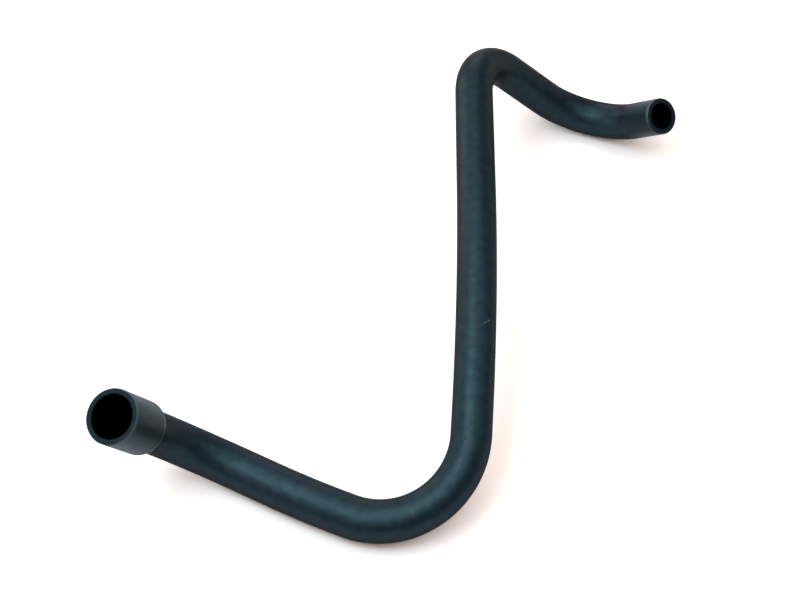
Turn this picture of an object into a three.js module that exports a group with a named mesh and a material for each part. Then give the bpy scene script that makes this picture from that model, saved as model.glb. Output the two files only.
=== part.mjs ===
// Vent hose for an engine bay: one piece of moulded rubber, with a belled end that slips over a
// pipe stub, bends in several planes, and a plain end cut square. Millimetres, +Z up. The hose lies
// as it comes to rest, on its leg and on its far bend. Origin: middle of the base of its box.
import * as THREE from 'three';
import { mergeVertices } from 'three/addons/utils/BufferGeometryUtils.js';

// Tube: the bore, and the wall, which is thicker in the leg behind the bell and thins to the
// running wall round the lower bend
const TUBE_BORE = 13;
const LEG_WALL = 3.15;
const RUN_WALL = 2.6;

// Belled end: the socket that a pipe stub goes into
const BELL_BORE = 19;
const BELL_WALL = 2.5;
const BELL_LENGTH = 25.5;
const SOCKET_SEAT = 2.2; // rubber between the end of the socket and the bell's shoulder
const SOCKET_TAPER = 3.5; // length over which the socket narrows to the tube's bore

// Small radii left by the mould and the trimming knife
const LIP_RADIUS = 0.5;
const BORE_LIP_RADIUS = 0.3;
const SHOULDER_RADIUS = 0.8;
const SHOULDER_FILLET = 1;

// Radii worked out from these
const BELL_RADIUS = BELL_BORE / 2 + BELL_WALL;
const LEG_RADIUS = TUBE_BORE / 2 + LEG_WALL;
const RUN_RADIUS = TUBE_BORE / 2 + RUN_WALL;

// The route goes from corner to corner of the centreline's straight runs. Across is along X, back
// is along +Y, and heights are above the floor.
// Leg: from the lower bend to the bell bend, with one gentle curve on its way. It lies on the floor.
const LEG_ACROSS = 123.5;
const LEG_BACK = 57.5;
const LEG_CURVE_ACROSS = 67.5;
const LEG_CURVE_BACK = 28.5;

// Bell: from the bell bend up to its mouth
const BELL_ACROSS = 20.5;
const BELL_FORWARD = 22.5;
const BELL_MOUTH_HEIGHT = 65.5;

// Long run: from the lower bend to the top bend, with one gentle curve on its way
const RUN_ACROSS = 8.5;
const RUN_BACK = 250;
const TOP_BEND_HEIGHT = 63.5;
const CURVE_ACROSS = 7.5;
const CURVE_BACK = 106;
const CURVE_HEIGHT = 51.5;

// Descent: from the top bend to the far bend, which rests on the floor
const DESCENT_ACROSS = 64;
const DESCENT_BACK = 13.5;

// Plain end: from the far bend up to its mouth
const PLAIN_END_ACROSS = 30;
const PLAIN_END_FORWARD = 31.5;
const PLAIN_MOUTH_HEIGHT = 34.5;

// Bend radii at the centreline
const BELL_BEND_RADIUS = 41;
const LOWER_BEND_RADIUS = 39;
const TOP_BEND_RADIUS = 30.5;
const FAR_BEND_RADIUS = 29.5;
const LEAST_RUN = 2; // straight that a gentle curve leaves beside it

// The corners, from the bell's mouth to the plain end. One with no bend radius of its own is a
// gentle curve, as wide as its runs let it be. One that rests is lowered until its arc does.
const bellBend = [-LEG_ACROSS, LEG_BACK, LEG_RADIUS];
const longRun = [CURVE_ACROSS, CURVE_BACK, CURVE_HEIGHT];
const topBend = [RUN_ACROSS, RUN_BACK, TOP_BEND_HEIGHT];
const farBend = [RUN_ACROSS + DESCENT_ACROSS, RUN_BACK + DESCENT_BACK, 0];
const bellMouth = [-LEG_ACROSS - BELL_ACROSS, LEG_BACK - BELL_FORWARD, BELL_MOUTH_HEIGHT];
const plainMouth = [
  farBend[0] + PLAIN_END_ACROSS, farBend[1] - PLAIN_END_FORWARD, PLAIN_MOUTH_HEIGHT,
];
const ROUTE = [
  { name: 'bell mouth', at: bellMouth },
  { name: 'bell bend', at: bellBend, bend: BELL_BEND_RADIUS },
  { name: 'leg', at: [-LEG_CURVE_ACROSS, LEG_CURVE_BACK, LEG_RADIUS] },
  { name: 'lower bend', at: [0, 0, LEG_RADIUS], bend: LOWER_BEND_RADIUS },
  { name: 'long run', at: longRun },
  { name: 'top bend', at: topBend, bend: TOP_BEND_RADIUS },
  { name: 'far bend', at: farBend, bend: FAR_BEND_RADIUS, restingRadius: RUN_RADIUS },
  { name: 'plain mouth', at: plainMouth },
];
const THINNING_BEND = 'lower bend';
const SETTLING_PASSES = 60;

// Fineness of the facets
const SIDES = 24;
const LIP_STEPS = 2;
const CHORD_ERROR = 0.1; // how far a facet may leave the outside of a bend
const BORE_CHORD_ERROR = 0.3;
const LEAST_FACET = 1; // no ring of points lies closer than this to the end of its stretch

// The arc of the given radius that rounds one corner, and its reach along the runs on both sides
function arcAt(corners, i, bend) {
  const along = corners[i].clone().sub(corners[i - 1]).normalize();
  const next = corners[i + 1].clone().sub(corners[i]).normalize();
  const angle = along.angleTo(next);
  const reach = bend * Math.tan(angle / 2);
  const axis = along.clone().cross(next).normalize();
  const from = corners[i].clone().addScaledVector(along, -reach);
  const centre = from.clone().addScaledVector(axis.clone().cross(along), bend);
  return { angle, reach, axis, from, centre };
}

// The corners with the resting one lowered until its arc is no higher or lower than the floor
function settledCorners(route) {
  const corners = route.map((stop) => new THREE.Vector3(...stop.at));
  const i = route.findIndex((stop) => stop.restingRadius);
  const { bend, restingRadius } = route[i];
  for (let pass = 0; pass < SETTLING_PASSES; pass += 1) {
    const { axis, centre } = arcAt(corners, i, bend);
    const lowest = centre.z - bend * Math.hypot(axis.x, axis.y);
    corners[i].z += restingRadius - lowest;
  }
  return corners;
}

// The radius of a gentle curve, whose neighbours are bends
function gentleRadius(route, corners, i) {
  const room = [i - 1, i + 1].map(
    (j) => corners[i].distanceTo(corners[j]) - arcAt(corners, j, route[j].bend).reach,
  );
  return (Math.min(...room) - LEAST_RUN) / Math.tan(arcAt(corners, i, 0).angle / 2);
}

// The centreline as straight runs and arcs that touch them. Each piece knows its start, its
// length, and how the hose's cross-section is turned there (its +Y is the way along the hose).
function routePieces(route) {
  const corners = settledCorners(route);
  const heading = (i) => corners[i + 1].clone().sub(corners[i]).normalize();
  const turn = new THREE.Quaternion().setFromUnitVectors(new THREE.Vector3(0, 1, 0), heading(0));
  const pieces = [];
  let here = corners[0];
  let start = 0;
  const add = (piece) => {
    pieces.push({ ...piece, start, from: here.clone(), turn: turn.clone() });
    start += piece.length;
  };
  const last = corners.length - 1;
  for (let i = 1; i < last; i += 1) {
    const { name } = route[i];
    const bend = route[i].bend ?? gentleRadius(route, corners, i);
    const { angle, axis, from, centre } = arcAt(corners, i, bend);
    add({ name: `run to ${name}`, length: from.distanceTo(here), along: heading(i - 1) });
    here = from;
    add({ name, length: bend * angle, bend, axis, centre });
    const swing = new THREE.Quaternion().setFromAxisAngle(axis, angle);
    turn.premultiply(swing);
    here = from.clone().sub(centre).applyQuaternion(swing).add(centre);
  }
  add({ name: 'end run', length: corners[last].distanceTo(here), along: heading(last - 1) });
  return pieces;
}

// Where a point of the straight hose goes once the hose is bent along its route
function bentPoint(pieces, point) {
  const along = point.y;
  const piece = pieces.findLast((candidate) => candidate.start <= along) ?? pieces[0];
  const offset = new THREE.Vector3(point.x, 0, point.z).applyQuaternion(piece.turn);
  const past = along - piece.start;
  if (!piece.bend) {
    return offset.add(piece.from).addScaledVector(piece.along, past);
  }
  const swing = new THREE.Quaternion().setFromAxisAngle(piece.axis, past / piece.bend);
  return offset.add(piece.from).sub(piece.centre).applyQuaternion(swing).add(piece.centre);
}

// Distances along the hose at which it needs a ring of points, for a surface that stays within
// chordError of the true bend
function stations(pieces, radius, chordError) {
  const places = [];
  for (const { start, length, bend } of pieces) {
    const step = bend ? 2 * bend * Math.acos(1 - chordError / (bend + radius)) : length;
    const count = Math.ceil(length / step);
    for (let i = 0; i < count; i += 1) {
      places.push(start + (length * i) / count);
    }
  }
  return places;
}

// A quarter round of the section's outline, both ends included: from angle a to angle b
function quarterRound(x, y, radius, a, b) {
  const arc = [];
  for (let i = 0; i <= LIP_STEPS; i += 1) {
    const angle = a + ((b - a) * i) / LIP_STEPS;
    arc.push(new THREE.Vector2(x + radius * Math.cos(angle), y + radius * Math.sin(angle)));
  }
  return arc;
}

// The hose's section before it is bent: x is the distance from the centreline, y the distance
// from the bell's mouth. It goes along the outside to the plain end and back through the bore.
function straightSection(pieces) {
  const last = pieces.at(-1);
  const end = last.start + last.length;
  const thinning = pieces.find((piece) => piece.name === THINNING_BEND);
  const outsideRadius = (y) => {
    const share = THREE.MathUtils.smoothstep(y, thinning.start, thinning.start + thinning.length);
    return THREE.MathUtils.lerp(LEG_RADIUS, RUN_RADIUS, share);
  };
  const between = (places, low, high) => places.filter(
    (y) => y > low + LEAST_FACET && y < high - LEAST_FACET,
  );

  const bellBore = BELL_BORE / 2;
  const tubeBore = TUBE_BORE / 2;
  const halfStep = (BELL_RADIUS - LEG_RADIUS) / 2;
  const shoulder = Math.min(SHOULDER_RADIUS, halfStep);
  const fillet = Math.min(SHOULDER_FILLET, halfStep);
  const socketEnd = BELL_LENGTH - SOCKET_SEAT;
  const boreStart = socketEnd + SOCKET_TAPER;
  const filletEnd = BELL_LENGTH + fillet;
  const outside = between(stations(pieces, LEG_RADIUS, CHORD_ERROR), filletEnd, end);
  const inside = between(stations(pieces, tubeBore, BORE_CHORD_ERROR), boreStart, end);
  const quarter = Math.PI / 2;

  const section = [
    ...quarterRound(bellBore + BORE_LIP_RADIUS, BORE_LIP_RADIUS, BORE_LIP_RADIUS,
      2 * quarter, 3 * quarter),
    ...quarterRound(BELL_RADIUS - LIP_RADIUS, LIP_RADIUS, LIP_RADIUS, -quarter, 0),
    ...quarterRound(BELL_RADIUS - shoulder, BELL_LENGTH - shoulder, shoulder, 0, quarter),
    ...quarterRound(LEG_RADIUS + fillet, filletEnd, fillet, 3 * quarter, 2 * quarter),
    ...outside.map((y) => new THREE.Vector2(outsideRadius(y), y)),
    ...quarterRound(RUN_RADIUS - LIP_RADIUS, end - LIP_RADIUS, LIP_RADIUS, 0, quarter),
    ...quarterRound(tubeBore + BORE_LIP_RADIUS, end - BORE_LIP_RADIUS, BORE_LIP_RADIUS,
      quarter, 2 * quarter),
    ...inside.reverse().map((y) => new THREE.Vector2(tubeBore, y)),
    new THREE.Vector2(tubeBore, boreStart),
    new THREE.Vector2(bellBore, socketEnd),
  ];
  section.push(section[0].clone());
  return section;
}

// Revolve the section, then bend the straight hose along its route
function hoseGeometry() {
  const pieces = routePieces(ROUTE);
  const revolved = new THREE.LatheGeometry(straightSection(pieces), SIDES);
  revolved.deleteAttribute('normal');
  revolved.deleteAttribute('uv');
  const geometry = mergeVertices(revolved);
  const places = geometry.attributes.position;
  const point = new THREE.Vector3();
  for (let i = 0; i < places.count; i += 1) {
    point.fromBufferAttribute(places, i);
    places.setXYZ(i, ...bentPoint(pieces, point));
  }
  geometry.computeVertexNormals();
  return geometry;
}

function ventHose() {
  const geometry = hoseGeometry();
  geometry.computeBoundingBox();
  const { min, max } = geometry.boundingBox;
  geometry.translate(-(min.x + max.x) / 2, -(min.y + max.y) / 2, -min.z);
  const rubber = new THREE.MeshStandardMaterial({ color: 0x2c3d45, roughness: 0.6, metalness: 0 });
  const mesh = new THREE.Mesh(geometry, rubber);
  mesh.name = 'vent_hose';
  return mesh;
}

const group = new THREE.Group();
group.add(ventHose());

export default group;
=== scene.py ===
import math

import bpy
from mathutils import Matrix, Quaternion, Vector


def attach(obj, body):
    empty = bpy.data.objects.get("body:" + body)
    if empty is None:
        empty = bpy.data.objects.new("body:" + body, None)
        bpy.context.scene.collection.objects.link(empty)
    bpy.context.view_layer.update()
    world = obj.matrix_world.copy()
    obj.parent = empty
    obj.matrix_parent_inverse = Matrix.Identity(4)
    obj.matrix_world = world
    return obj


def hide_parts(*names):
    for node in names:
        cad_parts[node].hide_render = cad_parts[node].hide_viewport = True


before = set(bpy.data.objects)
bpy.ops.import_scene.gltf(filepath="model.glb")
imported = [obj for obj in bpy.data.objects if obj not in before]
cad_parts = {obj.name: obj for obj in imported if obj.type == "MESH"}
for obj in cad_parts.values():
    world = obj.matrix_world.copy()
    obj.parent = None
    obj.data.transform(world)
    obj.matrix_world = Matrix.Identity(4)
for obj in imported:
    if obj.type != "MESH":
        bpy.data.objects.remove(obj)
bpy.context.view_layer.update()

MM = 0.001

# The section of the straight hose, in millimetres, as in the part's source
TUBE_BORE = 13
LEG_WALL = 3.15
RUN_WALL = 2.6
BELL_BORE = 19
BELL_WALL = 2.5
BELL_LENGTH = 25.5
SOCKET_SEAT = 2.2
SOCKET_TAPER = 3.5
LIP_RADIUS = 0.5
BORE_LIP_RADIUS = 0.3
SHOULDER_RADIUS = 0.8
SHOULDER_FILLET = 1
BELL_RADIUS = BELL_BORE / 2 + BELL_WALL
LEG_RADIUS = TUBE_BORE / 2 + LEG_WALL
RUN_RADIUS = TUBE_BORE / 2 + RUN_WALL

# The steps between the corners of the centreline, in millimetres, as in the part's source
LEG_ACROSS = 123.5
LEG_BACK = 57.5
LEG_CURVE_ACROSS = 67.5
LEG_CURVE_BACK = 28.5
BELL_ACROSS = 20.5
BELL_FORWARD = 22.5
BELL_MOUTH_HEIGHT = 65.5
RUN_ACROSS = 8.5
RUN_BACK = 250
TOP_BEND_HEIGHT = 63.5
CURVE_ACROSS = 7.5
CURVE_BACK = 106
CURVE_HEIGHT = 51.5
DESCENT_ACROSS = 64
DESCENT_BACK = 13.5
PLAIN_END_ACROSS = 30
PLAIN_END_FORWARD = 31.5
PLAIN_MOUTH_HEIGHT = 34.5
BELL_BEND_RADIUS = 41
LOWER_BEND_RADIUS = 39
TOP_BEND_RADIUS = 30.5
FAR_BEND_RADIUS = 29.5
LEAST_RUN = 2

# The route: name, corner point and bend radius. A gentle curve is as wide as its runs let it be.
FAR_BEND_PLACE = (RUN_ACROSS + DESCENT_ACROSS, RUN_BACK + DESCENT_BACK)
ROUTE = [
    ("bell mouth", (-LEG_ACROSS - BELL_ACROSS, LEG_BACK - BELL_FORWARD, BELL_MOUTH_HEIGHT), None),
    ("bell bend", (-LEG_ACROSS, LEG_BACK, LEG_RADIUS), BELL_BEND_RADIUS),
    ("leg", (-LEG_CURVE_ACROSS, LEG_CURVE_BACK, LEG_RADIUS), None),
    ("lower bend", (0, 0, LEG_RADIUS), LOWER_BEND_RADIUS),
    ("long run", (CURVE_ACROSS, CURVE_BACK, CURVE_HEIGHT), None),
    ("top bend", (RUN_ACROSS, RUN_BACK, TOP_BEND_HEIGHT), TOP_BEND_RADIUS),
    ("far bend", (*FAR_BEND_PLACE, 0), FAR_BEND_RADIUS),
    ("plain mouth", (FAR_BEND_PLACE[0] + PLAIN_END_ACROSS, FAR_BEND_PLACE[1] - PLAIN_END_FORWARD,
                     PLAIN_MOUTH_HEIGHT), None),
]
RESTING_BEND = "far bend"
THINNING_BEND = "lower bend"
SETTLING_PASSES = 60

# Fineness of the mesh: sides round it, steps along its outside and its bore, steps in a rounding
SIDES = 96
RING_STEP = 1.6
BORE_RING_STEP = 3.5
ROUNDING_STEPS = 6
INSET = 0.1  # keeps the round mesh inside the faceted CAD

# The mesh's material slots
SKIN, BORE, CUT = 0, 1, 2

# How far from its mouth the plain end starts to shine as the bell does, and over what length
SHEEN_REACH = 22
SHEEN_FADE = 14

# Colours, linear
RUBBER_BLUE = (0.0028, 0.0072, 0.0155, 1)
RUBBER_GREEN = (0.0028, 0.0088, 0.0135, 1)
# Paler rubber for the scratch and scuffs, and on the rounded edges, where it is partly scuffing and
# partly a painted highlight
RUBBER_WEAR_AND_HIGHLIGHT = (0.1, 0.125, 0.13, 1)
# Painted shade: the bore's wall, near black and darker than the rubber, in faint paler patches
BORE_PAINTED_SHADE = (0.0004, 0.0004, 0.0005, 1)
BORE_PAINTED_SHADE_PALER = (0.0008, 0.0008, 0.0009, 1)
SHINE_BLUE = (0.41, 0.8, 1, 1)
SHINE_GREEN = (0.46, 0.88, 1, 1)
WHITE = (1, 1, 1, 1)

# Sockets of the Mix node when it mixes colours
FACTOR_IN, COLOUR_A_IN, COLOUR_B_IN, COLOUR_OUT = 0, 6, 7, 2

# Noises in the rubber: scale per metre and roughness
NOISE_DETAIL = 3
MOTTLE = (260, 0.5)
CLOUD = (60, 0.5)
GRAIN = (1500, 0.6)
CUT_GRAIN = (1200, 0.6)
# Patches in the bore's painted shade
BORE_SHADE_NOISE = (300, 0.5)

# What a noise is turned into: its range, then the value at each end of the range
GREEN_PATCHES = (0.35, 0.65, 0, 1)
# Patches on the rounded edges, paler partly from scuffing and partly as a painted highlight
EDGE_WEAR_AND_HIGHLIGHT_PATCHES = (0.4, 0.6, 0.15, 0.8)
SKIN_ROUGHNESS = (0.3, 0.7, 0.44, 0.56)
CUT_ROUGHNESS = (0.3, 0.7, 0.5, 0.6)
UNEVEN_SHINE = (0.3, 0.7, 0.9, 1.1)
BORE_ROUGHNESS = 0.9

# The specular level against how far the surface turns aside: it falls on the tube and rises on
# the bell and the plain end
TUBE_SHINE = (0.15, 0.6, 0.67, 0.08)
END_SHINE = (0.5, 0.75, 0.26, 1)
CUT_SHINE = 0.34

# Bumps: depth in metres and strength
GRAIN_BUMP = (0.00004, 0.3)
CLOUD_BUMP = (0.0004, 0.15)
MARK_BUMP = (0.00025, 0.8)
CUT_BUMP = (0.00005, 0.3)

# A scratch in two stretches and two faint scuffs, where the camera's rays through their places in
# the photograph meet the long run, in metres: start, end, half width and strength
MARKS = [((0.02913, -0.04819, 0.05223), (0.03179, -0.04604, 0.05223), 0.0003, 0.3),
         ((0.03179, -0.04604, 0.05223), (0.03451, -0.04371, 0.05126), 0.0004, 1),
         ((0.02552, -0.05811, 0.04903), (0.02895, -0.05829, 0.04929), 0.0004, 0.1),
         ((0.03566, -0.05500, 0.04615), (0.03586, -0.05380, 0.04615), 0.0004, 0.2)]

# Lamps round the hose: azimuth from the front towards +X, elevation and power in watts. The powers
# were fitted to the photograph's light and shade, and the two at the back were then lowered.
LAMPS = [(0, 65, 1.66), (60, 65, 0.58), (90, 40, 0.58), (120, 65, 0.65), (135, 15, 0.36),
         (180, 15, 1.5), (180, 65, 1), (225, 15, 1.94), (225, 40, 0.5), (240, 65, 1.3),
         (270, 15, 1.51), (300, 65, 3.53), (315, 40, 0.65)]
LAMP_DISTANCE = 1
LAMP_SIZE = 0.5
ROOM_LEVEL = 0.005

# The floor in metres: half its side, how near to the hose its own white is dimmed as painted
# contact shade, and the distances from the middle between which that white takes over from the
# lamps
FLOOR_HALF = 12
FLOOR_SHADE_REACH = 0.02
FLOOR_FADE = (0.3, 1.2)

# The floor's colour under the lamps and its own white, as reflections and as the camera see them
MIRRORED_LIT = (0.8, 0.8, 0.8, 1)
MIRRORED_WHITE = (0.13, 0.13, 0.13, 1)
SEEN_LIT = (1, 1.2, 1.31, 1)
SEEN_WHITE = (0.52, 0.3, 0.18, 1)

# The camera, found from the hose's outline in the photograph: its place in millimetres and how
# far it looks down, in degrees
PHOTO_WIDTH = 800
FOCAL_PIXELS = 1600
SENSOR_WIDTH = 36
CAMERA_PLACE = (-4.6, -456.9, 610.6)
CAMERA_PITCH = 52.83
CAMERA_NEAREST = 0.01
CAMERA_FARTHEST = 20


def arc_at(corners, i, bend):
    """The arc that rounds one corner: its angle, reach along the runs, axis, start and centre."""
    along = (corners[i] - corners[i - 1]).normalized()
    onward = (corners[i + 1] - corners[i]).normalized()
    angle = along.angle(onward)
    reach = bend * math.tan(angle / 2)
    axis = along.cross(onward).normalized()
    start = corners[i] - along * reach
    return angle, reach, axis, start, start + axis.cross(along) * bend


def settled_corners():
    """The corners, with the resting bend's lowered until its arc lies on the floor."""
    corners = [Vector(at) for _, at, _ in ROUTE]
    i = [name for name, _, _ in ROUTE].index(RESTING_BEND)
    bend = ROUTE[i][2]
    for _ in range(SETTLING_PASSES):
        _, _, axis, _, centre = arc_at(corners, i, bend)
        corners[i].z += RUN_RADIUS - (centre.z - bend * math.hypot(axis.x, axis.y))
    return corners


def gentle_radius(corners, i):
    """The radius of a gentle curve, whose neighbours are bends."""
    room = [(corners[i] - corners[j]).length - arc_at(corners, j, ROUTE[j][2])[1]
            for j in (i - 1, i + 1)]
    return (min(room) - LEAST_RUN) / math.tan(arc_at(corners, i, 0)[0] / 2)


def route_pieces():
    """The centreline as straight runs and arcs, each with its start, its length and the way the
    hose's cross-section is turned there. The cross-section's own Y runs along the hose."""
    corners = settled_corners()
    headings = [(b - a).normalized() for a, b in zip(corners, corners[1:])]
    turn = Vector((0, 1, 0)).rotation_difference(headings[0])
    here, start, pieces = corners[0], 0.0, []
    for i in range(1, len(corners) - 1):
        name, _, bend = ROUTE[i]
        bend = bend or gentle_radius(corners, i)
        angle, _, axis, arc_start, centre = arc_at(corners, i, bend)
        length = (arc_start - here).length
        pieces.append(dict(name="run to " + name, start=start, length=length, origin=here,
                           turn=turn, along=headings[i - 1]))
        start += length
        pieces.append(dict(name=name, start=start, length=bend * angle, origin=arc_start,
                           turn=turn, bend=bend, axis=axis, centre=centre))
        start += bend * angle
        swing = Quaternion(axis, angle)
        turn = swing @ turn
        here = centre + swing @ (arc_start - centre)
    pieces.append(dict(name="end run", start=start, length=(corners[-1] - here).length,
                       origin=here, turn=turn, along=headings[-1]))
    return pieces


def station(pieces, along):
    """The centre and the turn of the cross-section at a distance along the hose."""
    piece = [p for p in pieces if p["start"] <= max(along, 0)][-1]
    past = along - piece["start"]
    if "bend" not in piece:
        return piece["origin"] + piece["along"] * past, piece["turn"]
    swing = Quaternion(piece["axis"], past / piece["bend"])
    return piece["centre"] + swing @ (piece["origin"] - piece["centre"]), swing @ piece["turn"]


def quarter_round(radius, along, size, a, b):
    """Points of a quarter round of the section, from angle a to angle b, as (radius, along)."""
    angles = [a + (b - a) * i / ROUNDING_STEPS for i in range(ROUNDING_STEPS + 1)]
    return [(radius + size * math.cos(t), along + size * math.sin(t)) for t in angles]


def spread(low, high, step):
    """Evenly spaced distances from just after low to just before high."""
    count = max(2, round((high - low) / step))
    return [low + (high - low) * i / count for i in range(1, count)]


def straight_section(pieces):
    """The closed outline of the straight hose as (radius, along, part). The part is outside or
    bore, edge where the rubber is rounded off, or lip where a mouth is rounded into its bore."""
    end = pieces[-1]["start"] + pieces[-1]["length"]
    thinning = next(p for p in pieces if p["name"] == THINNING_BEND)
    bell_bore, tube_bore = BELL_BORE / 2, TUBE_BORE / 2
    socket_end = BELL_LENGTH - SOCKET_SEAT
    bore_start = socket_end + SOCKET_TAPER
    bell_side_end = BELL_LENGTH - SHOULDER_RADIUS
    fillet_end = BELL_LENGTH + SHOULDER_FILLET
    tube_side_end = end - LIP_RADIUS
    bore_end = end - BORE_LIP_RADIUS
    quarter = math.pi / 2

    def tube_radius(y):
        """The tube's outside, which thins smoothly along one bend."""
        share = min(1, max(0, (y - thinning["start"]) / thinning["length"]))
        return LEG_RADIUS + (RUN_RADIUS - LEG_RADIUS) * share * share * (3 - 2 * share)

    bell_side = [(BELL_RADIUS, y) for y in spread(LIP_RADIUS, bell_side_end, RING_STEP)]
    tube_side = [(tube_radius(y), y) for y in spread(fillet_end, tube_side_end, RING_STEP)]
    bore = [(tube_bore, y) for y in reversed(spread(bore_start, bore_end, BORE_RING_STEP))]
    socket = [(bell_bore, y) for y in reversed(spread(BORE_LIP_RADIUS, socket_end, BORE_RING_STEP))]
    stretches = [
        ("lip", quarter_round(bell_bore + BORE_LIP_RADIUS, BORE_LIP_RADIUS, BORE_LIP_RADIUS,
                              2 * quarter, 3 * quarter)),
        ("edge", quarter_round(BELL_RADIUS - LIP_RADIUS, LIP_RADIUS, LIP_RADIUS, -quarter, 0)),
        ("outside", bell_side),
        ("edge", quarter_round(BELL_RADIUS - SHOULDER_RADIUS, bell_side_end, SHOULDER_RADIUS,
                               0, quarter)),
        ("outside", quarter_round(LEG_RADIUS + SHOULDER_FILLET, fillet_end, SHOULDER_FILLET,
                                  3 * quarter, 2 * quarter)),
        ("outside", tube_side),
        ("edge", quarter_round(RUN_RADIUS - LIP_RADIUS, tube_side_end, LIP_RADIUS, 0, quarter)),
        ("lip", quarter_round(tube_bore + BORE_LIP_RADIUS, bore_end, BORE_LIP_RADIUS,
                              quarter, 2 * quarter)),
        ("bore", bore),
        ("bore", [(tube_bore, bore_start), (bell_bore, socket_end)]),
        ("bore", socket),
    ]
    return [(radius, along, part) for part, points in stretches for radius, along in points]


def ring_points(pieces, section):
    """The points of the mesh, one ring for each point of the section."""
    spokes = [2 * math.pi * k / SIDES for k in range(SIDES)]
    points = []
    for radius, along, part in section:
        centre, turn = station(pieces, along)
        reach = radius - INSET if part in ("outside", "edge") else radius
        points += [centre + turn @ Vector((reach * math.sin(t), 0, reach * math.cos(t)))
                   for t in spokes]
    return points


def in_place(points):
    """The points where the CAD has them, in metres: centred over the origin and on the floor."""
    low = Vector([min(p[i] for p in points) for i in range(3)])
    high = Vector([max(p[i] for p in points) for i in range(3)])
    shift = Vector((-(low.x + high.x) / 2, -(low.y + high.y) / 2, -low.z))
    return [(p + shift) * MM for p in points]


def slot_between(parts):
    """The material slot of the faces that join two rings, from the rings' parts."""
    if "bore" in parts:
        return BORE
    return CUT if parts == {"lip", "edge"} else SKIN


def ring_faces(section):
    """The faces between neighbouring rings and the material slot of each."""
    rings = len(section)
    faces, slots = [], []
    for i in range(rings):
        j = (i + 1) % rings
        for k in range(SIDES):
            m = (k + 1) % SIDES
            faces.append((i * SIDES + k, i * SIDES + m, j * SIDES + m, j * SIDES + k))
        slots += [slot_between({section[i][2], section[j][2]})] * SIDES
    return faces, slots


def end_sheen(along, hose_length):
    """1 on the bell and at the plain mouth, which shine more at their sides; 0 between them."""
    if along <= BELL_LENGTH:
        return 1.0
    return min(1, max(0, (along - hose_length + SHEEN_REACH) / SHEEN_FADE))


def keep_value(mesh, name, ring_values):
    """Stores one value for each ring at the ring's points, for a material to read."""
    layer = mesh.attributes.new(name, "FLOAT", "POINT")
    layer.data.foreach_set("value", [value for value in ring_values for _ in range(SIDES)])


def hose_mesh():
    """The hose as one closed mesh of rings, in the CAD's place."""
    pieces = route_pieces()
    section = straight_section(pieces)
    hose_length = max(along for _, along, _ in section)
    faces, slots = ring_faces(section)
    mesh = bpy.data.meshes.new("moulded_hose")
    mesh.from_pydata(in_place(ring_points(pieces, section)), [], faces)
    mesh.polygons.foreach_set("material_index", slots)
    mesh.polygons.foreach_set("use_smooth", [True] * len(faces))
    # The rounded edges are painted paler: partly scuffing, partly a painted highlight
    keep_value(mesh, "wear_and_highlight", [1.0 if part == "edge" else 0.0 for _, _, part in section])
    keep_value(mesh, "sheen", [end_sheen(along, hose_length) for _, along, _ in section])
    mesh.update()
    return mesh


def new_material(name):
    """A material with its nodes, its links, its object coordinates and its shader."""
    material = bpy.data.materials.new(name)
    material.use_nodes = True
    nodes, links = material.node_tree.nodes, material.node_tree.links
    coords = nodes.new("ShaderNodeTexCoord").outputs["Object"]
    return material, nodes, links, coords, nodes["Principled BSDF"]


def noise(nodes, links, coords, scale, roughness):
    """Smooth noise round 0.5."""
    node = nodes.new("ShaderNodeTexNoise")
    node.inputs["Scale"].default_value = scale
    node.inputs["Detail"].default_value = NOISE_DETAIL
    node.inputs["Roughness"].default_value = roughness
    links.new(coords, node.inputs["Vector"])
    return node.outputs["Fac"]


def ramp(nodes, links, source, low, high, start, end):
    """Maps source from the range low to high onto start to end."""
    node = nodes.new("ShaderNodeMapRange")
    node.inputs["From Min"].default_value = low
    node.inputs["From Max"].default_value = high
    node.inputs["To Min"].default_value = start
    node.inputs["To Max"].default_value = end
    links.new(source, node.inputs["Value"])
    return node.outputs["Result"]


def mix_colour(nodes, links, share, a, b):
    """From colour a at share 0 to colour b at share 1. A colour is a value or a node's output."""
    node = nodes.new("ShaderNodeMix")
    node.data_type = "RGBA"
    links.new(share, node.inputs[FACTOR_IN])
    for socket, value in ((node.inputs[COLOUR_A_IN], a), (node.inputs[COLOUR_B_IN], b)):
        if isinstance(value, tuple):
            socket.default_value = value
        else:
            links.new(value, socket)
    return node.outputs[COLOUR_OUT]


def dim_colour(nodes, links, colour, share):
    """The colour times the share."""
    node = nodes.new("ShaderNodeMix")
    node.data_type = "RGBA"
    node.blend_type = "MULTIPLY"
    node.inputs[FACTOR_IN].default_value = 1
    links.new(colour, node.inputs[COLOUR_A_IN])
    links.new(share, node.inputs[COLOUR_B_IN])
    return node.outputs[COLOUR_OUT]


def combine(nodes, links, operation, a, b):
    """Two numbers joined by an operation, such as MULTIPLY or MAXIMUM."""
    node = nodes.new("ShaderNodeMath")
    node.operation = operation
    links.new(a, node.inputs[0])
    links.new(b, node.inputs[1])
    return node.outputs["Value"]


def stored_value(nodes, name):
    """A value that the mesh stores at its points."""
    node = nodes.new("ShaderNodeAttribute")
    node.attribute_name = name
    return node.outputs["Fac"]


def vector_node(nodes, operation):
    """A node that works on vectors."""
    node = nodes.new("ShaderNodeVectorMath")
    node.operation = operation
    return node


def bump(nodes, links, height, distance, strength, normal=None):
    """The normal tilted by a height, over a normal that another bump may have tilted before."""
    node = nodes.new("ShaderNodeBump")
    node.inputs["Strength"].default_value = strength
    node.inputs["Distance"].default_value = distance
    links.new(height, node.inputs["Height"])
    if normal:
        links.new(normal, node.inputs["Normal"])
    return node.outputs["Normal"]


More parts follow.
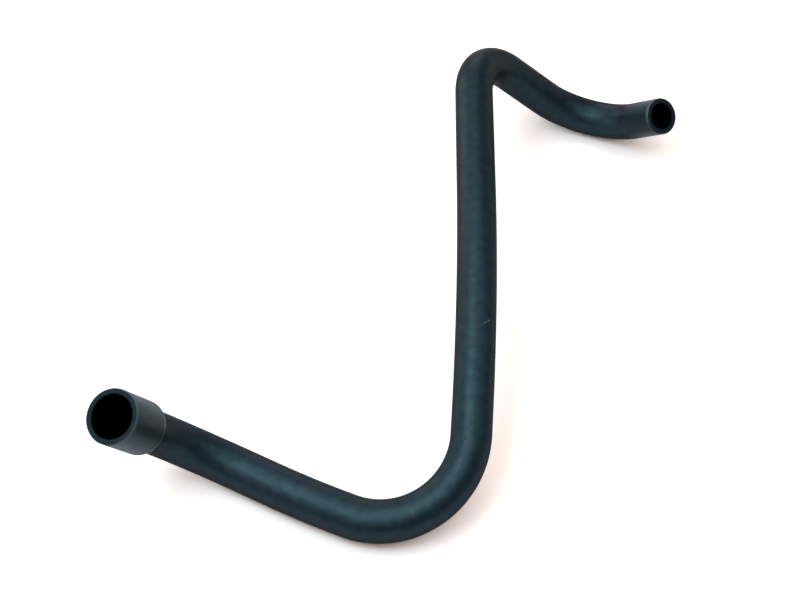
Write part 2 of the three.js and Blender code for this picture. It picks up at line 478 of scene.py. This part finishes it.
def mark_mask(nodes, links, coords, start, end, half_width, strength):
    """The strength on the line from start to end, falling to 0 at half the mark's width."""
    along = Vector(end) - Vector(start)
    offset = vector_node(nodes, "SUBTRACT")
    links.new(coords, offset.inputs[0])
    offset.inputs[1].default_value = start
    reach = vector_node(nodes, "DOT_PRODUCT")
    links.new(offset.outputs["Vector"], reach.inputs[0])
    reach.inputs[1].default_value = along.normalized()
    held = ramp(nodes, links, reach.outputs["Value"], 0, along.length, 0, along.length)
    nearest = vector_node(nodes, "SCALE")
    nearest.inputs[0].default_value = along.normalized()
    links.new(held, nearest.inputs["Scale"])
    gap = vector_node(nodes, "DISTANCE")
    links.new(offset.outputs["Vector"], gap.inputs[0])
    links.new(nearest.outputs["Vector"], gap.inputs[1])
    return ramp(nodes, links, gap.outputs["Value"], 0, half_width, strength, 0)


def marks_mask(nodes, links, coords):
    """The strongest of the marks at each place."""
    mask, *others = [mark_mask(nodes, links, coords, *mark) for mark in MARKS]
    for other in others:
        mask = combine(nodes, links, "MAXIMUM", mask, other)
    return mask


def skin_colour(nodes, links, green, cloud, marks):
    """Two near tones in patches, paler on the marks and in patches on the rounded edges, where the
    paleness is partly real scuffing and partly a painted highlight.
    """
    edge_wear_and_highlight = ramp(nodes, links, cloud, *EDGE_WEAR_AND_HIGHLIGHT_PATCHES)
    edge_wear_and_highlight = combine(nodes, links, "MULTIPLY", stored_value(nodes, "wear_and_highlight"), edge_wear_and_highlight)
    colour = mix_colour(nodes, links, green, RUBBER_BLUE, RUBBER_GREEN)
    colour = mix_colour(nodes, links, edge_wear_and_highlight, colour, RUBBER_WEAR_AND_HIGHLIGHT)
    return mix_colour(nodes, links, marks, colour, RUBBER_WEAR_AND_HIGHLIGHT)


def skin_shine(nodes, links, mottle):
    """The specular level, which is a little uneven and differs between the tube and its ends."""
    facing = nodes.new("ShaderNodeLayerWeight").outputs["Facing"]
    level = nodes.new("ShaderNodeMix")
    links.new(stored_value(nodes, "sheen"), level.inputs["Factor"])
    links.new(ramp(nodes, links, facing, *TUBE_SHINE), level.inputs["A"])
    links.new(ramp(nodes, links, facing, *END_SHINE), level.inputs["B"])
    uneven = ramp(nodes, links, mottle, *UNEVEN_SHINE)
    return combine(nodes, links, "MULTIPLY", level.outputs["Result"], uneven)


def skin_material():
    """Matte moulded rubber: faint mottling, a fine grain, paler rounded edges (partly scuffing,
    partly a painted highlight), a scratch and scuffs.
    """
    material, nodes, links, coords, shader = new_material("hose_rubber")
    mottle = noise(nodes, links, coords, *MOTTLE)
    cloud = noise(nodes, links, coords, *CLOUD)
    grain = noise(nodes, links, coords, *GRAIN)
    marks = marks_mask(nodes, links, coords)
    green = ramp(nodes, links, mottle, *GREEN_PATCHES)
    links.new(skin_colour(nodes, links, green, cloud, marks), shader.inputs["Base Color"])
    links.new(ramp(nodes, links, grain, *SKIN_ROUGHNESS), shader.inputs["Roughness"])
    links.new(skin_shine(nodes, links, mottle), shader.inputs["Specular IOR Level"])
    tint = mix_colour(nodes, links, green, SHINE_BLUE, SHINE_GREEN)
    links.new(tint, shader.inputs["Specular Tint"])
    normal = bump(nodes, links, grain, *GRAIN_BUMP)
    normal = bump(nodes, links, cloud, *CLOUD_BUMP, normal)
    normal = bump(nodes, links, marks, *MARK_BUMP, normal)
    links.new(normal, shader.inputs["Normal"])
    return material


def bore_shade_material():
    """Painted shade: the bore's wall is near black in faint paler patches and reflects nothing, as
    the shade deep in the bore looks.
    """
    material, nodes, links, coords, shader = new_material("bore_painted_shade")
    shade_noise = noise(nodes, links, coords, *BORE_SHADE_NOISE)
    links.new(mix_colour(nodes, links, shade_noise, BORE_PAINTED_SHADE, BORE_PAINTED_SHADE_PALER), shader.inputs["Base Color"])
    shader.inputs["Roughness"].default_value = BORE_ROUGHNESS
    shader.inputs["Specular IOR Level"].default_value = 0.0
    return material


def cut_material():
    """The flat mouth faces, which are rougher than the moulded skin."""
    material, nodes, links, coords, shader = new_material("cut_face")
    grain = noise(nodes, links, coords, *CUT_GRAIN)
    colour = mix_colour(nodes, links, grain, RUBBER_GREEN, RUBBER_BLUE)
    links.new(colour, shader.inputs["Base Color"])
    links.new(ramp(nodes, links, grain, *CUT_ROUGHNESS), shader.inputs["Roughness"])
    shader.inputs["Specular IOR Level"].default_value = CUT_SHINE
    shader.inputs["Specular Tint"].default_value = SHINE_BLUE
    links.new(bump(nodes, links, grain, *CUT_BUMP), shader.inputs["Normal"])
    return material


def make_hose():
    """The hose, in place of the CAD's. Its materials are in the order of the slots."""
    mesh = hose_mesh()
    for material in (skin_material(), bore_shade_material(), cut_material()):
        mesh.materials.append(material)
    hose = bpy.data.objects.new("moulded_hose", mesh)
    bpy.context.scene.collection.objects.link(hose)
    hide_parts("vent_hose")
    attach(hose, "root")


def floor_layer(nodes, links, lit_colour, own_white):
    """Light falling on the floor plus its own white, which is dimmed near the hose as painted
    contact shade and takes over where the lamps no longer reach."""
    lit = nodes.new("ShaderNodeBsdfDiffuse")
    lit.inputs["Color"].default_value = lit_colour
    distance = vector_node(nodes, "LENGTH")
    links.new(nodes.new("ShaderNodeTexCoord").outputs["Object"], distance.inputs[0])
    far = ramp(nodes, links, distance.outputs["Value"], *FLOOR_FADE, 0, 1)
    white = mix_colour(nodes, links, far, own_white, WHITE)
    # Painted contact shade: the floor's own white is dimmed where the hose is near
    painted_contact_shade = nodes.new("ShaderNodeAmbientOcclusion")
    painted_contact_shade.inputs["Distance"].default_value = FLOOR_SHADE_REACH
    glow = nodes.new("ShaderNodeEmission")
    links.new(dim_colour(nodes, links, white, painted_contact_shade.outputs["AO"]), glow.inputs["Color"])
    both = nodes.new("ShaderNodeAddShader")
    links.new(lit.outputs[0], both.inputs[0])
    links.new(glow.outputs[0], both.inputs[1])
    return both.outputs[0]


def choose(nodes, links, share, otherwise, shader):
    """One shader where the share is 1 and another where it is 0."""
    node = nodes.new("ShaderNodeMixShader")
    links.new(share, node.inputs[0])
    links.new(otherwise, node.inputs[1])
    links.new(shader, node.inputs[2])
    return node.outputs[0]


def floor_material():
    """A white floor that keeps a warm shadow. Reflections and the camera see it as white."""
    material = bpy.data.materials.new("white_floor")
    material.use_nodes = True
    nodes, links = material.node_tree.nodes, material.node_tree.links
    nodes.clear()
    out = nodes.new("ShaderNodeOutputMaterial")
    plain = nodes.new("ShaderNodeBsdfDiffuse")
    plain.inputs["Color"].default_value = MIRRORED_LIT
    path = nodes.new("ShaderNodeLightPath").outputs
    mirrored = combine(nodes, links, "MAXIMUM", path["Is Glossy Ray"], path["Is Transmission Ray"])
    reflected = floor_layer(nodes, links, MIRRORED_LIT, MIRRORED_WHITE)
    seen = floor_layer(nodes, links, SEEN_LIT, SEEN_WHITE)
    surface = choose(nodes, links, mirrored, plain.outputs[0], reflected)
    surface = choose(nodes, links, path["Is Camera Ray"], surface, seen)
    links.new(surface, out.inputs["Surface"])
    return material


def make_stage():
    """The floor, which isn't part of the object."""
    half = FLOOR_HALF
    mesh = bpy.data.meshes.new("floor")
    mesh.from_pydata([(-half, -half, 0), (half, -half, 0), (half, half, 0), (-half, half, 0)], [],
                     [(0, 1, 2, 3)])
    mesh.materials.append(floor_material())
    floor = bpy.data.objects.new("floor", mesh)
    bpy.context.scene.collection.objects.link(floor)


def make_world():
    """A dim grey room round the lamps."""
    world = bpy.data.worlds.new("grey_room")
    bpy.context.scene.world = world
    world.use_nodes = True
    background = world.node_tree.nodes["Background"]
    background.inputs["Color"].default_value = WHITE
    background.inputs["Strength"].default_value = ROOM_LEVEL


def add_lamp(place, power):
    """A round lamp that looks at the hose."""
    data = bpy.data.lights.new("lamp", "AREA")
    data.shape = "DISK"
    data.size = LAMP_SIZE
    data.energy = power
    lamp = bpy.data.objects.new("lamp", data)
    lamp.location = place
    lamp.rotation_euler = place.to_track_quat("Z", "Y").to_euler()
    bpy.context.scene.collection.objects.link(lamp)


def make_lamps():
    """The lamps, all at the same distance."""
    for azimuth, elevation, power in LAMPS:
        a, e = math.radians(azimuth), math.radians(elevation)
        towards = Vector((math.sin(a) * math.cos(e), -math.cos(a) * math.cos(e), math.sin(e)))
        add_lamp(towards * LAMP_DISTANCE, power)


def make_camera():
    """The camera, standing where the photograph was taken from."""
    data = bpy.data.cameras.new("photo_camera")
    data.sensor_width = SENSOR_WIDTH
    data.lens = FOCAL_PIXELS / PHOTO_WIDTH * SENSOR_WIDTH
    data.clip_start = CAMERA_NEAREST
    data.clip_end = CAMERA_FARTHEST
    camera = bpy.data.objects.new("photo_camera", data)
    camera.location = Vector(CAMERA_PLACE) * MM
    camera.rotation_euler = (math.radians(90 - CAMERA_PITCH), 0, 0)
    bpy.context.scene.collection.objects.link(camera)
    bpy.context.scene.camera = camera


make_camera()
make_hose()
make_stage()
make_world()
make_lamps()
bpy.context.scene.view_settings.view_transform = "Standard"
